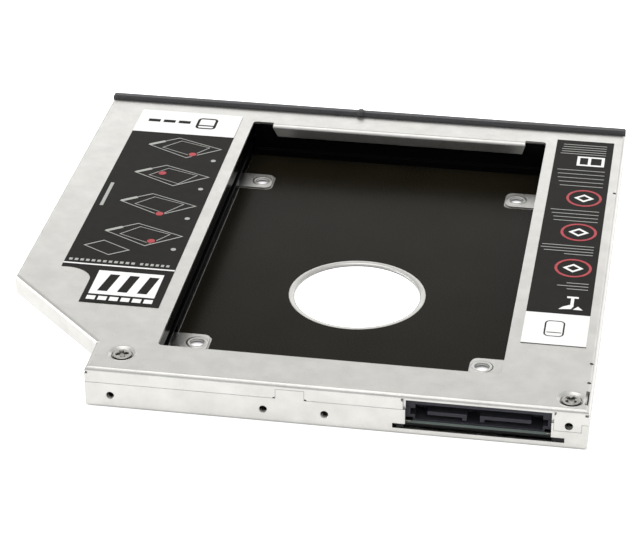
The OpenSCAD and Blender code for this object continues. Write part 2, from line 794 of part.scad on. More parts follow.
module plug_housing() {
  x0 = plug_x - plug_w / 2;
  x1 = plug_x + plug_w / 2;
  color(plastic) {
    difference() {
      block([x0, plug_y0, board_top], [x1, plug_y0 + plug_l, board_top + plug_h]);
      block([cavity_x0, plug_y0 - 1, cavity_z0], [cavity_x1, tongue_back, cavity_z1]);
      // Guide notches at both ends of the mouth
      for (x = [cavity_x0 - 1, cavity_x1])
        block([x - eps, plug_y0 - 1, cavity_z0 + 1], [x + 1 + eps, tongue_back - 1, cavity_z1 - 1]);
      // Lead-in at the lower lip, over the board locks
      block([x0 - 1, plug_y0 - 1, board_top - 1], [x0 + cavity_side - 0.4, plug_y0 + 1.2, cavity_z0 + 0.3]);
      block([x1 - cavity_side + 0.4, plug_y0 - 1, board_top - 1], [x1 + 1, plug_y0 + 1.2, cavity_z0 + 0.3]);
    }
    tongue(signal_x, signal_w, signal_x + signal_w - 0.9);
    tongue(power_x, power_w, power_x);
  }
}

// Row of contacts under a tongue, each with its tail on the board behind the housing
module plug_contacts(x, w, n, leg) {
  pitch = (w - 1.6) / n;
  for (i = [0:n - 1]) {
    cx = x + leg + pitch * (i + 0.5);
    block([cx - 0.3, tongue_front + 0.3, tongue_z - 0.15], [cx + 0.3, tongue_back - 0.1, tongue_z]);
    block([cx - 0.2, plug_y0 + plug_l, board_top],
          [cx + 0.2, plug_y0 + plug_l + tail_l, board_top + 0.2]);
  }
}

module plug_signal_contacts() {
  color(gold) plug_contacts(signal_x, signal_w, 7, 0.3);
}

module plug_power_contacts() {
  color(gold) plug_contacts(power_x, power_w, 6, 1.3);
}

// Metal feet that hold the plug to the board, one at each end
module plug_board_locks() {
  lock_w = 1.5;
  color(steel) for (x = [plug_x - plug_w / 2 + 0.2, plug_x + plug_w / 2 - 0.2 - lock_w]) {
    block([x, plug_y0 - 0.8, board_top], [x + lock_w, plug_y0 + 0.9, board_top + 0.3]);
  }
}

// Drive socket

socket_slot_l = 5.6;
socket_slot_h = 1.35;
socket_slot_z = board_top + 1.9;
socket_power_w = 15 * contact_pitch + 1.6;
socket_signal_w = 7 * contact_pitch + 1.2;
socket_power_x = socket_x - socket_w / 2 + 2.1;
socket_signal_x = socket_power_x + socket_power_w + 1.4;

// Slot for a tongue of the drive's plug, with room for its short leg
module socket_slot(x, w, leg_x) {
  block([x, socket_y1 - socket_slot_l, socket_slot_z],
        [x + w, socket_y1 + 1, socket_slot_z + socket_slot_h]);
  block([leg_x, socket_y1 - socket_slot_l, socket_slot_z - 0.9],
        [leg_x + 1.2, socket_y1 + 1, socket_slot_z + eps]);
}

module socket_housing() {
  x0 = socket_x - socket_w / 2;
  x1 = socket_x + socket_w / 2;
  nose = 4;
  color(plastic) difference() {
    union() {
      block([x0, socket_y0, board_top], [x1, socket_y1 - nose, board_top + socket_h]);
      block([x0 + 0.7, socket_y1 - nose - eps, board_top + 0.5],
            [x1 - 0.7, socket_y1, board_top + socket_h - 0.3]);
    }
    socket_slot(socket_power_x, socket_power_w, socket_power_x + socket_power_w - 1.2);
    socket_slot(socket_signal_x, socket_signal_w, socket_signal_x);
  }
}

// Contacts in a slot, and their tails on the board behind the socket
module socket_contacts(x, w, n, leg) {
  for (i = [0:n - 1]) {
    cx = x + leg + contact_pitch * (i + 0.5);
    block([cx - 0.25, socket_y1 - socket_slot_l, socket_slot_z + socket_slot_h - 0.2],
          [cx + 0.25, socket_y1 - 0.5, socket_slot_z + socket_slot_h]);
    block([cx - 0.2, socket_y0 - tail_l, board_top], [cx + 0.2, socket_y0, board_top + 0.2]);
  }
}

module socket_signal_contacts() {
  color(gold) socket_contacts(socket_signal_x, socket_signal_w, 7, 1.2);
}

module socket_power_contacts() {
  color(gold) socket_contacts(socket_power_x, socket_power_w, 15, 0.2);
}

module socket_board_locks() {
  lock_w = 1;
  color(steel) for (x = [socket_x - socket_w / 2 - lock_w, socket_x + socket_w / 2])
    block([x, socket_y0 + 1, board_top], [x + lock_w, socket_y0 + 3.2, board_top + 0.9]);
}

// Bezel

module front_bezel() {
  y0 = front_y + 0.05;
  y1 = front_y + bezel_t;
  edge_r = 0.5;
  top = shell_h + bezel_rise;
  nub_r = 1;
  color(plastic) {
    rotate([90, 0, 0]) mirror([0, 0, 1]) translate([0, 0, y0])
      linear_extrude(y1 - y0) round_rect([left_x, 0], [right_x, top], edge_r);
    // Small round nub on the top edge
    intersection() {
      translate([-1.2, y1 - nub_r, shell_h + 0.1]) union() {
        cylinder(r = nub_r, h = bezel_rise + 0.1);
        translate([0, 0, bezel_rise + 0.1 - eps]) cylinder(r1 = nub_r, r2 = 0.6, h = 0.35);
      }
      block([-5, y0 - 0.5, 0], [5, y1, shell_h + 5]);
    }
    // Snap hooks
    for (h = hooks) {
      block([h[0] - hook_w / 2, front_y - hook_reach, h[1]], [h[0] + hook_w / 2, y0 + eps, h[1] + hook_t]);
      translate([h[0] - hook_w / 2, 0, 0]) rotate([90, 0, 90]) linear_extrude(hook_w) polygon([
        [front_y - hook_reach, h[1] + hook_t - eps],
        [front_y - sheet_t - 0.15, h[1] + hook_t - eps],
        [front_y - sheet_t - 0.15, h[1] + hook_t + 0.6]
      ]);
    }
  }
}

// Labels

// Outline of the left label: a field with a narrower tab below it, joined by a hollow round
module left_label_outline() {
  x0 = left_label_x;
  x1 = x0 + left_label_w;
  strip = 1.3;
  round_w = left_tab_x - x0 - 1.4;
  round_h = 5.2;
  translate([x0, left_line_y - strip]) square([left_label_w, left_label_y1 - left_line_y + strip]);
  translate([left_tab_x, left_label_y0]) square([x1 - left_tab_x, left_line_y - left_label_y0]);
  difference() {
    translate([left_tab_x - round_w, left_line_y - strip - round_h]) square([round_w + 0.1, round_h + 0.1]);
    translate([left_tab_x - round_w, left_line_y - strip - round_h]) scale([round_w / round_h, 1])
      circle(round_h);
  }
}

module left_label() {
  color("#33312e") translate([0, 0, label_z]) linear_extrude(label_t) left_label_outline();
}

// Thin frame inside the outline pts, its inner edge shrunk to the share k around the middle
module frame_of(pts, k) {
  mid = (pts[0] + pts[1] + pts[2] + pts[3]) / 4;
  difference() {
    polygon(pts);
    polygon([for (p = pts) mid + k * (p - mid)]);
  }
}

// Bar of width w from point a to point b
module stroke(a, b, w) {
  d = b - a;
  translate(a) rotate(atan2(d[1], d[0])) translate([0, -w / 2]) square([norm(d), w]);
}

// Rows of thin bars with their right ends in line, one below the other, that stand for lines of print
module bars(right, y, lengths, pitch, w) {
  for (i = [0:len(lengths) - 1])
    translate([right - lengths[i], y - i * pitch]) square([lengths[i], w]);
}

// A row of n short bars between x0 and x1, with gaps between them
module dashes(n, x0, x1, y, h, gap) {
  pitch = (x1 - x0 + gap) / n;
  for (i = [0:n - 1]) translate([x0 + i * pitch, y]) square([pitch - gap, h]);
}

// Outline of a drive seen from above: a rounded frame with a base line
module drive_icon(p, q, line) {
  difference() {
    round_rect(p, q, 1.2);
    round_rect(p + [line, line], q - [line, line], 1.2 - line);
  }
  translate([p[0] + 0.6, p[1] + 1.5]) square([q[0] - p[0] - 1.2, line]);
}

// Corners of a flat case that is seen from above one corner, from its middle
case_outer = [[-9.1, 0], [-2.3, 4.6], [9.1, 0], [1.5, -5.7]];
case_inner = [[-5.4, -1], [-1.5, 3.1], [6.1, 0.5], [2.5, -4.5]];
case_small = [[-5.4, 0.4], [-1.4, 3.3], [5.4, -0.4], [1.2, -3.3]];
frame_share = 0.95;
bar_w = 0.22;

case_n = 4;
case_pitch = 14.7;
case_x = left_label_x + 14.6;
case_y = left_head_y - 6.8;
mark_places = [[2.6, -3.6], [-2.4, 0.4], [1.4, -4.9], [2.4, -3.2]];
mark_r = 0.9;

module left_label_print() {
  x0 = left_label_x;
  x1 = x0 + left_label_w;
  tab_y = left_label_y0;
  block_x = left_tab_x + 1.2;
  block_w = 14.6;
  block_h = 10.2;
  block_y = tab_y + 3.6;
  icon = [x0 + 14.7, left_head_y + 3.5];
  color(ink_white) translate([0, 0, print_z]) linear_extrude(print_t) {
    // White head with a drive's outline and three plain bars left open
    difference() {
      translate([x0, left_head_y]) square([left_label_w, left_head_l]);
      drive_icon(icon, icon + [5, 5.9], 0.65);
      dashes(3, x0 + 2.6, icon[0] - 1.6, left_head_y + 5.7, 1.5, 0.8);
    }
    // Cases seen from a corner, each with a light nose and a dot beside it
    for (i = [0:case_n - 1]) translate([case_x, case_y - i * case_pitch]) {
      difference() {
        union() {
          frame_of(case_outer, frame_share);
          frame_of(case_inner, frame_share);
          stroke([-8.7, 0], [-5.4, 2.3], 0.9);
        }
        translate(mark_places[i]) circle(mark_r + 0.25);
      }
      translate([8.2, -6.2]) circle(0.6);
    }
    translate([case_x - 6.7, case_y - (case_n - 1) * case_pitch - 7.7]) frame_of(case_small, 0.92);
    // Bars along the left edge, under the cases, and across the label
    translate([x0 + 1.4, case_y - 2.2 * case_pitch]) square([0.8, 11.4]);
    dashes(12, x0 + 0.9, x1 - 9.4, left_line_y + 1.5, 0.9, 0.5);
    dashes(6, x1 - 8.2, x1 - 1.6, left_line_y + 1.5, 0.9, 0.5);
    translate([x0, left_line_y]) square([left_label_w, 0.5]);
    // White block with three slanting dark bars, and a row of short bars below it
    difference() {
      translate([block_x, block_y]) square([block_w, block_h]);
      for (i = [0:2]) translate([block_x + 1.6 + 4.4 * i, block_y + 1.4]) {
        bar_h = block_h - 2.8;
        polygon([[0, 0], [2.2, 0], [3.5, bar_h], [1.3, bar_h]]);
      }
    }
    dashes(6, block_x, block_x + block_w, tab_y + 1.2, 1.6, 0.6);
  }
}

module left_label_marks() {
  color("#c8372d") translate([0, 0, print_z]) linear_extrude(print_t)
    for (i = [0:case_n - 1]) translate([case_x, case_y - i * case_pitch] + mark_places[i])
      circle(mark_r);
}

module right_label() {
  color("#33312e") translate([right_label_x, right_white_y - right_white_l, label_z])
    cube([right_label_w, right_black_l + right_white_l, label_t]);
}

ring_n = 3;
ring_r = 4.1;
ring_line = 0.6;
ring_pitch = right_black_l / 5;
ring_x = right_x - 7.6;
ring_y = right_label_y1 - 29.7;

module right_label_print() {
  x0 = right_label_x;
  bar_x = right_x - 3.7;
  icon = [x0 + 4.4, right_white_y - 9.6];
  color(ink_white) translate([0, 0, print_z]) linear_extrude(print_t) {
    // White end with a drive's outline left open
    difference() {
      translate([x0, right_white_y - right_white_l]) square([right_label_w, right_white_l]);
      drive_icon(icon, icon + [4.3, 6.6], 0.35);
    }
    // Bars at the label's head, and a frame with two fields
    bars(bar_x - 0.3, right_label_y1 - 2.4, [10.4, 10.4, 10.6, 10.6, 10.8], 1.2, bar_w);
    difference() {
      translate([bar_x - 6.9, right_label_y1 - 13.2]) square([6.5, 4.9]);
      translate([bar_x - 6.2, right_label_y1 - 12.5]) square([1.9, 3.5]);
      translate([bar_x - 3.6, right_label_y1 - 12.5]) square([2.5, 3.5]);
    }
    bars(bar_x, right_label_y1 - 15.8, [11.2, 10.9, 10.8, 10.4, 10], 2, bar_w);
    // In each ring a small plain frame, and bars between the rings
    for (i = [0:ring_n - 1]) translate([ring_x, ring_y - i * ring_pitch])
      frame_of([[-2.3, 0], [0, 1.9], [2.3, 0], [0, -1.9]], 0.6);
    bars(bar_x, ring_y - 6.4, [11.1, 10.7, 10.2, 10], 1.7, bar_w);
    bars(bar_x, ring_y - ring_pitch - 6.6, [11.6, 11.8, 11, 6.4], 1.3, bar_w);
    bars(bar_x, ring_y - 2 * ring_pitch - 6.8, [4.8, 6.8, 4.6], 1.3, bar_w);
    // A post on a low mound
    translate([ring_x, right_white_y + 2]) {
      translate([-0.3, 5]) square([2.5, 0.7]);
      translate([0.6, 1.6]) square([0.7, 3.5]);
      polygon([[-1.8, 0], [-0.9, 1.2], [0.5, 2.1], [1.4, 1.8], [0.9, 0.4]]);
      polygon([[1.3, 0.2], [2.3, 1.6], [3.4, 0.2]]);
    }
  }
}

module right_label_rings() {
  color("#c8372d") translate([0, 0, print_z]) linear_extrude(print_t)
    for (i = [0:ring_n - 1]) translate([ring_x, ring_y - i * ring_pitch]) difference() {
      circle(ring_r);
      circle(ring_r - ring_line);
    }
}

base_tray();
top_cover();
cover_posts();
cover_screws();
insulating_film();
left_rail();
right_rail();
front_stop();
adapter_board();
board_screws();
chip_capacitors();
plug_housing();
plug_signal_contacts();
plug_power_contacts();
plug_board_locks();
socket_housing();
socket_signal_contacts();
socket_power_contacts();
socket_board_locks();
front_bezel();
left_label();
left_label_print();
left_label_marks();
right_label();
right_label_print();
right_label_rings();
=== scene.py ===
# %% [markdown]
# # A drive caddy in pressed aluminium
# This notebook dresses a finished CAD model for a photograph. The solids come from the packed
# frame, in metres, and stay where they are. What is added here is what a camera sees: the grain of
# the sheet, the turned heads of the screws, the soft rims of the holes, the inks, and soft light.

import json
from math import cos, pi, radians, sin

import bmesh
import bpy
import numpy as np
from mathutils import Matrix, Vector


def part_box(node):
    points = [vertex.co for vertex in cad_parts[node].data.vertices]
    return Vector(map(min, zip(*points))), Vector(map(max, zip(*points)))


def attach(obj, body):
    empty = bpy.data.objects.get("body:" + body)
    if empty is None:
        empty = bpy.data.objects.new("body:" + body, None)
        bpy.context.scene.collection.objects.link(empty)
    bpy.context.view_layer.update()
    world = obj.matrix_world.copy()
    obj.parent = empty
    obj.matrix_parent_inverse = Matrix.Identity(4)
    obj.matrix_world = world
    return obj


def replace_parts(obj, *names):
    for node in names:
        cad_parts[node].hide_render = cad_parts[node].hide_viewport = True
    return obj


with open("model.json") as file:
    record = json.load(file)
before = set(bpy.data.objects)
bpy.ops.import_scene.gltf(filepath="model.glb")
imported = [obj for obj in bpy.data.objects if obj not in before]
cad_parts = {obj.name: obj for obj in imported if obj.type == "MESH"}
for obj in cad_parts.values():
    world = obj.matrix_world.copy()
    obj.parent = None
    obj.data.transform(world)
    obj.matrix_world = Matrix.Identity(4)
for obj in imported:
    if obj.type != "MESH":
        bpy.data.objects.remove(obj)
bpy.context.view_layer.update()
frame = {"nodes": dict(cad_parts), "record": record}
MM = 0.001
print("nodes:", len(frame["nodes"]))

# %% [markdown]
# ## The camera
# A long lens looks down at the rear of the caddy, from a little to its right. Its place was found
# by laying a model of the shell's corners over the picture and moving the camera until they met.
# A camera in Blender looks along its own -Z, so the three columns of its matrix are the directions
# of right, up and back.

# %% Set the camera
AZIMUTH, ELEVATION, ROLL = radians(9.499), radians(29.448), radians(-0.07)
CAMERA_PLACE = Vector((78.919, -478.125, 274.512)) * MM
FOCAL_PX, IMAGE_W = 2449.6, 640

back = Vector((sin(AZIMUTH) * cos(ELEVATION), -cos(AZIMUTH) * cos(ELEVATION), sin(ELEVATION)))
right = Vector((cos(AZIMUTH), sin(AZIMUTH), 0))
up = back.cross(right)
right, up = cos(ROLL) * right + sin(ROLL) * up, cos(ROLL) * up - sin(ROLL) * right

lens = bpy.data.cameras.new("camera")
lens.sensor_width = 36
lens.lens = FOCAL_PX * lens.sensor_width / IMAGE_W
lens.clip_start, lens.clip_end = 0.01, 10
camera = bpy.data.objects.new("camera", lens)
turned = Matrix((right, up, back)).transposed().to_4x4()
camera.matrix_world = Matrix.Translation(CAMERA_PLACE) @ turned
bpy.context.scene.collection.objects.link(camera)
bpy.context.scene.camera = camera
print("lens in mm:", round(lens.lens, 2))

# %% [markdown]
# ## Colours and nodes
# A material is a small graph of nodes. Three helpers are enough to build every one: the first turns
# a colour as a designer writes it, an sRGB hex value, into the linear numbers that the renderer
# counts in. The second adds one node, with its settings and its links, so that each material
# below reads as a list. The third starts a material with the one surface that all of them share.

# %% Three helpers for materials
def colour(hex_value):
    """Linear RGBA of an sRGB hex value: each channel v becomes ((v + 0.055) / 1.055) ** 2.4."""
    parts = [int(hex_value[i:i + 2], 16) / 255 for i in (1, 3, 5)]
    return [v / 12.92 if v <= 0.04045 else ((v + 0.055) / 1.055) ** 2.4 for v in parts] + [1]


def add(material, kind, sockets=None, **settings):
    """Adds one node. settings are its own options. sockets fills its inputs: a value stays a
    value, and another node's output is linked."""
    tree = material.node_tree
    item = tree.nodes.new(kind)
    for name, value in settings.items():
        setattr(item, name, value)
    for name, value in (sockets or {}).items():
        if isinstance(value, bpy.types.NodeSocket):
            tree.links.new(value, item.inputs[name])
        else:
            item.inputs[name].default_value = value
    return item


def new_material(name, sockets):
    """An empty material with one Principled surface, whose sockets are filled as given."""
    material = bpy.data.materials.new(name)
    material.use_nodes = True
    material.node_tree.nodes.clear()
    surface = add(material, "ShaderNodeBsdfPrincipled", sockets)
    add(material, "ShaderNodeOutputMaterial", {"Surface": surface.outputs[0]})
    return material, surface


print("mid grey in linear:", round(colour("#808080")[0], 3))

# %% [markdown]
# ## Texture in real millimetres
# Every pattern below is a noise that is read at the object's own coordinates, in metres. A noise
# of scale 1 has grains about 1 m wide, so a grain of so many millimetres needs a scale of 1000
# divided by it. Stretching the coordinates first gives the long grain of rolled sheet. The edges
# of the solids are sharp, and real ones never are: a Bevel node bends the light over a small
# radius at each edge, and leaves the mesh alone.

# %% Grain and edges
def grain(material, width_mm, stretch=(1, 1, 1), detail=2.0):
    """Noise whose grains are width_mm wide, made longer where stretch is below 1."""
    place = add(material, "ShaderNodeTexCoord").outputs["Object"]
    turned = add(material, "ShaderNodeMapping", {"Vector": place, "Scale": stretch}).outputs[0]
    noise = add(material, "ShaderNodeTexNoise",
                {"Vector": turned, "Scale": 1000 / width_mm, "Detail": detail, "Roughness": 0.6})
    return noise.outputs[0]


def between(material, amount, low, high):
    """Maps a noise, which lies mostly between 0.3 and 0.7, to the span from low to high."""
    span = {"Value": amount, "From Min": 0.3, "From Max": 0.7, "To Min": low, "To Max": high}
    return add(material, "ShaderNodeMapRange", span).outputs[0]


def two_tone(material, amount, dark, light):
    """Mixes two hex colours by a noise."""
    ends = {0: between(material, amount, 0, 1), 6: colour(dark), 7: colour(light)}
    return add(material, "ShaderNodeMix", ends, data_type="RGBA").outputs[2]


def relief(material, surface, height, depth_mm, edge_mm=0.0):
    """Links a bump of the given depth, over edges that are rounded to edge_mm."""
    sockets = {"Height": height, "Distance": depth_mm * MM, "Strength": 1.0}
    if edge_mm:
        edge = add(material, "ShaderNodeBevel", {"Radius": edge_mm * MM}, samples=6)
        sockets["Normal"] = edge.outputs[0]
    bump = add(material, "ShaderNodeBump", sockets)
    material.node_tree.links.new(bump.outputs[0], surface.inputs["Normal"])


def link(material, socket, surface, name):
    """Links one output to a named input of the surface."""
    material.node_tree.links.new(socket, surface.inputs[name])


print("a grain of 0.5 mm has scale", 1000 / 0.5)

# %% [markdown]
# ## Rolled aluminium
# Tray and cover are pressed from aluminium sheet, 0.6 mm thick, as it comes from the rolls. The
# rolls leave a satin face with a faint grain along the sheet, and handling leaves it slightly
# cloudy. So the metal is quite rough, its colour drifts by a few percent over some
# millimetres, and the grain is 0.25 mm wide and six times as long. Real grain is finer, but it
# would not show.

# %% Make the sheet metal
sheet, surface = new_material("rolled_aluminium", {"Metallic": 1.0, "Roughness": 0.32})
cloud = grain(sheet, 5.0)
rolling = grain(sheet, 0.25, stretch=(1, 0.16, 1))
link(sheet, two_tone(sheet, cloud, "#bab9b5", "#c4c3bf"), surface, "Base Color")
link(sheet, between(sheet, rolling, 0.27, 0.37), surface, "Roughness")
relief(sheet, surface, rolling, 0.006, edge_mm=0.15)
print(sheet.name, "has", len(sheet.node_tree.nodes), "nodes")

# %% [markdown]
# ## Plated steel
# Posts and the metal feet of the connectors are steel under a thin bright coat of nickel. It is
# smoother than the sheet and a little warmer, and mirrors its surroundings in small highlights.
# The screws were tumbled in bulk and plated with zinc: they are darker, duller and dented. Shade
# is painted into the cross of each: an occlusion node darkens what lies closed in within 0.8 mm.

# %% Make the plated steel
plated, surface = new_material("nickel_plated_steel", {"Metallic": 1.0, "Roughness": 0.25})
handling = grain(plated, 0.8)
link(plated, two_tone(plated, handling, "#aeaca6", "#c9c7c1"), surface, "Base Color")
link(plated, between(plated, handling, 0.18, 0.32), surface, "Roughness")
relief(plated, surface, handling, 0.004, edge_mm=0.06)

RECESS_SHADE_REACH = 0.8 * MM
screw_steel, surface = new_material("dull_zinc_plated_steel", {"Metallic": 1.0, "Roughness": 0.38})
tumbled = grain(screw_steel, 0.5)
zinc = two_tone(screw_steel, tumbled, "#8f8e88", "#bab9b3")
# Painted shade: the cross recess and the gap round the head darken towards #1e1d1b.
unclosed = add(screw_steel, "ShaderNodeAmbientOcclusion", {"Distance": RECESS_SHADE_REACH}, samples=8)
unshaded_share = add(screw_steel, "ShaderNodeMapRange",
            {"Value": unclosed.outputs["AO"], "From Min": 0.55, "From Max": 0.98}).outputs[0]
zinc_with_painted_shade = add(screw_steel, "ShaderNodeMix", {0: unshaded_share, 6: colour("#1e1d1b"), 7: zinc},
            data_type="RGBA")
link(screw_steel, zinc_with_painted_shade.outputs[2], surface, "Base Color")
link(screw_steel, between(screw_steel, tumbled, 0.3, 0.48), surface, "Roughness")
relief(screw_steel, surface, tumbled, 0.02, edge_mm=0.05)
print(plated.name, screw_steel.name)

# %% [markdown]
# ## Insulating film
# The black sheet on the tray's floor is polycarbonate film. One face is finely matt: it mirrors
# the sky as a weak sheen, and the dark walls of the well as soft shadows. It is a warm black,
# never a pure one.

# %% Make the film
film, surface = new_material("black_polycarbonate_film",
                             {"Roughness": 0.26, "IOR": 1.58, "Specular IOR Level": 0.027})
tooth = grain(film, 0.25)
ripple = grain(film, 18.0, detail=1.0)
link(film, two_tone(film, ripple, "#17140d", "#1b1811"), surface, "Base Color")
link(film, between(film, tooth, 0.2, 0.32), surface, "Roughness")
relief(film, surface, tooth, 0.004, edge_mm=0.05)
print(film.name)

# %% [markdown]
# ## Moulded plastics
# The rails and the bezel are moulded ABS. The rails come from a polished mould and are smooth. The
# bezel's mould was spark-eroded, which leaves a fine even texture. The connectors are a
# glass-filled plastic that takes the heat of soldering: it is greyer, and short fibres show in its
# skin as faint streaks.

# %% Make the plastics
abs_black, surface = new_material("black_abs",
                                  {"Roughness": 0.2, "IOR": 1.53, "Specular IOR Level": 0.03})
spark = grain(abs_black, 0.3)
link(abs_black, two_tone(abs_black, spark, "#050506", "#09090a"), surface, "Base Color")
link(abs_black, between(abs_black, spark, 0.15, 0.25), surface, "Roughness")
relief(abs_black, surface, spark, 0.002, edge_mm=0.25)

bezel_abs, surface = new_material("textured_bezel_abs",
                                  {"Roughness": 0.5, "IOR": 1.53, "Specular IOR Level": 0.3})
spark = grain(bezel_abs, 0.4)
link(bezel_abs, two_tone(bezel_abs, spark, "#3e3e40", "#4b4b4d"), surface, "Base Color")
link(bezel_abs, between(bezel_abs, spark, 0.42, 0.58), surface, "Roughness")
relief(bezel_abs, surface, spark, 0.012, edge_mm=0.25)

filled, surface = new_material("glass_filled_connector_plastic",
                               {"Roughness": 0.5, "IOR": 1.6, "Specular IOR Level": 0.15})
fibre = grain(filled, 0.2, stretch=(0.25, 1, 1))
link(filled, two_tone(filled, fibre, "#303036", "#404046"), surface, "Base Color")
link(filled, between(filled, fibre, 0.4, 0.6), surface, "Roughness")
relief(filled, surface, fibre, 0.006, edge_mm=0.08)
print(abs_black.name, bezel_abs.name, filled.name)

# %% [markdown]
# ## Board, gold and ceramic
# The board is glass cloth in epoxy under green solder mask: glossy, with the weave of the cloth
# just visible below. Its upright faces are painted nearly black, as painted shade: the colour
# follows the upright share of the surface's own normal. A pale strip is painted along the front
# of the top as a painted highlight, where the front edge catches the light; it ends 1.8 mm in.
# The contacts are copper with a flash of gold. The capacitors are fired ceramic, matt and sandy.

# %% Make the board's finishes
board, surface = new_material("green_solder_mask",
                              {"Roughness": 0.3, "IOR": 1.5, "Specular IOR Level": 0.2})
weave = grain(board, 0.6, stretch=(1, 0.3, 1))
facing = add(board, "ShaderNodeNewGeometry").outputs["Normal"]
upright = add(board, "ShaderNodeSeparateXYZ", {"Vector": facing}).outputs["Z"]
flat = add(board, "ShaderNodeMath", {0: upright}, operation="ABSOLUTE").outputs[0]
mask = two_tone(board, weave, "#141d18", "#1b2620")
# Painted highlight: a pale strip, 1.8 mm deep, along the front of the board's top.
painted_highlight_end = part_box("adapter_board")[0][1] + 1.8 * MM
place = add(board, "ShaderNodeTexCoord").outputs["Object"]
depth = add(board, "ShaderNodeSeparateXYZ", {"Vector": place}).outputs["Y"]
past_painted_highlight = add(board, "ShaderNodeMapRange",
             {"Value": depth, "From Min": painted_highlight_end, "From Max": painted_highlight_end + 0.1 * MM}).outputs[0]
top_and_painted_highlight = add(board, "ShaderNodeMix", {0: past_painted_highlight, 6: colour("#84908a"), 7: mask},
               data_type="RGBA").outputs[2]
# Painted shade: the upright faces are coloured nearly black by the surface's normal.
edge_painted_shade = add(board, "ShaderNodeMix", {0: flat, 6: colour("#030504"), 7: top_and_painted_highlight}, data_type="RGBA")
link(board, edge_painted_shade.outputs[2], surface, "Base Color")
relief(board, surface, weave, 0.01, edge_mm=0.15)

gold, surface = new_material("gold_flash", {"Metallic": 1.0, "Roughness": 0.25})
wear = grain(gold, 0.4)
link(gold, two_tone(gold, wear, "#c99a3c", "#e2bd6a"), surface, "Base Color")
relief(gold, surface, wear, 0.002)

ceramic, surface = new_material("fired_ceramic", {"Roughness": 0.6, "IOR": 1.6})
sand = grain(ceramic, 0.15)
link(ceramic, two_tone(ceramic, sand, "#8d7250", "#a98b63"), surface, "Base Color")
relief(ceramic, surface, sand, 0.004)
print(board.name, gold.name, ceramic.name)

# %% [markdown]
# ## Labels
# The stickers are vinyl with a satin overlay, printed dark, with white and red on top. Ink on
# vinyl is never quite even, so each colour drifts a little. Fields and frames are white, but the
# drawings on the left and the bars on the right are fine lines, which print thinner and look grey.
# Their places are read from the coordinates: the drawings lie left of the middle, within 33 mm of
# y = 11.85 mm. The bars repeat with the rings, every 16.66 mm, so the fraction of y over that pitch
# tells bar from ring. Below y = -26 mm the right label is white, and its frame is printed in full.

# %% Make the label finishes
vinyl, surface = new_material("dark_label_vinyl",
                              {"Roughness": 0.5, "IOR": 1.5, "Specular IOR Level": 0.08})
uneven = grain(vinyl, 2.5)
link(vinyl, two_tone(vinyl, uneven, "#12100d", "#181613"), surface, "Base Color")
relief(vinyl, surface, grain(vinyl, 0.4), 0.004, edge_mm=0.05)

DRAWINGS_Y, DRAWINGS_HALF = 11.85, 33
RING_PITCH, BARS_START, BLACK_END_Y = 16.66, 27.15, -26
white_ink, surface = new_material("white_screen_ink", {"Roughness": 0.5, "IOR": 1.5})
place = add(white_ink, "ShaderNodeTexCoord").outputs["Object"]
x, y = add(white_ink, "ShaderNodeSeparateXYZ", {"Vector": place}).outputs[:2]
on_right = add(white_ink, "ShaderNodeMath", {0: x, 1: 0.0}, operation="GREATER_THAN").outputs[0]
drawings = add(white_ink, "ShaderNodeMath", {0: y, 1: DRAWINGS_Y * MM, 2: DRAWINGS_HALF * MM},
               operation="COMPARE").outputs[0]
turns = add(white_ink, "ShaderNodeMath",
            {0: y, 1: -1 / (RING_PITCH * MM), 2: BARS_START / RING_PITCH},
            operation="MULTIPLY_ADD").outputs[0]
share = add(white_ink, "ShaderNodeMath", {0: turns}, operation="FRACT").outputs[0]
bars = add(white_ink, "ShaderNodeMath", {0: share, 1: 0.425, 2: 0.285},
           operation="COMPARE").outputs[0]
black_part = add(white_ink, "ShaderNodeMath", {0: y, 1: BLACK_END_Y * MM},
                 operation="GREATER_THAN").outputs[0]
bars = add(white_ink, "ShaderNodeMath", {0: bars, 1: black_part}, operation="MULTIPLY").outputs[0]
fine = add(white_ink, "ShaderNodeMix", {0: on_right, 2: drawings, 3: bars}).outputs[0]
full = two_tone(white_ink, grain(white_ink, 1.5), "#e6e6e4", "#eeeeec")
ink = add(white_ink, "ShaderNodeMix", {0: fine, 6: full, 7: colour("#a3a49f")}, data_type="RGBA")
link(white_ink, ink.outputs[2], surface, "Base Color")

red_ink, surface = new_material("red_screen_ink", {"Roughness": 0.5, "IOR": 1.5})
link(red_ink, two_tone(red_ink, grain(red_ink, 1.0), "#9c202c", "#b03039"), surface, "Base Color")
print(vinyl.name, white_ink.name, red_ink.name)

# %% Give each CAD node its finish
FINISHES = {
    sheet: ["base_tray", "top_cover"],
    plated: ["cover_posts", "socket_board_locks"],
    screw_steel: ["plug_board_locks"],
    film: ["insulating_film"],
    abs_black: ["left_rail", "right_rail", "front_stop"],
    bezel_abs: ["front_bezel"],
    filled: ["plug_housing", "socket_housing"],
    board: ["adapter_board"],
    gold: ["plug_signal_contacts", "plug_power_contacts",
           "socket_signal_contacts", "socket_power_contacts"],
    vinyl: ["left_label", "right_label"],
    white_ink: ["left_label_print", "right_label_print"],
    red_ink: ["left_label_marks", "right_label_rings"],
}
for material, names in FINISHES.items():
    for name in names:
        for place in frame["nodes"][name].material_slots:
            place.material = material
print("nodes with a finish:", sum(len(names) for names in FINISHES.values()))

# %% [markdown]
# ## Surfaces from numbers
# A new piece is a grid of points: each row is one place along the piece, each column one place
# around it. One function turns such an array of shape (rows, columns, 3) into a mesh, and joins
# the last column to the first, as around a screw.

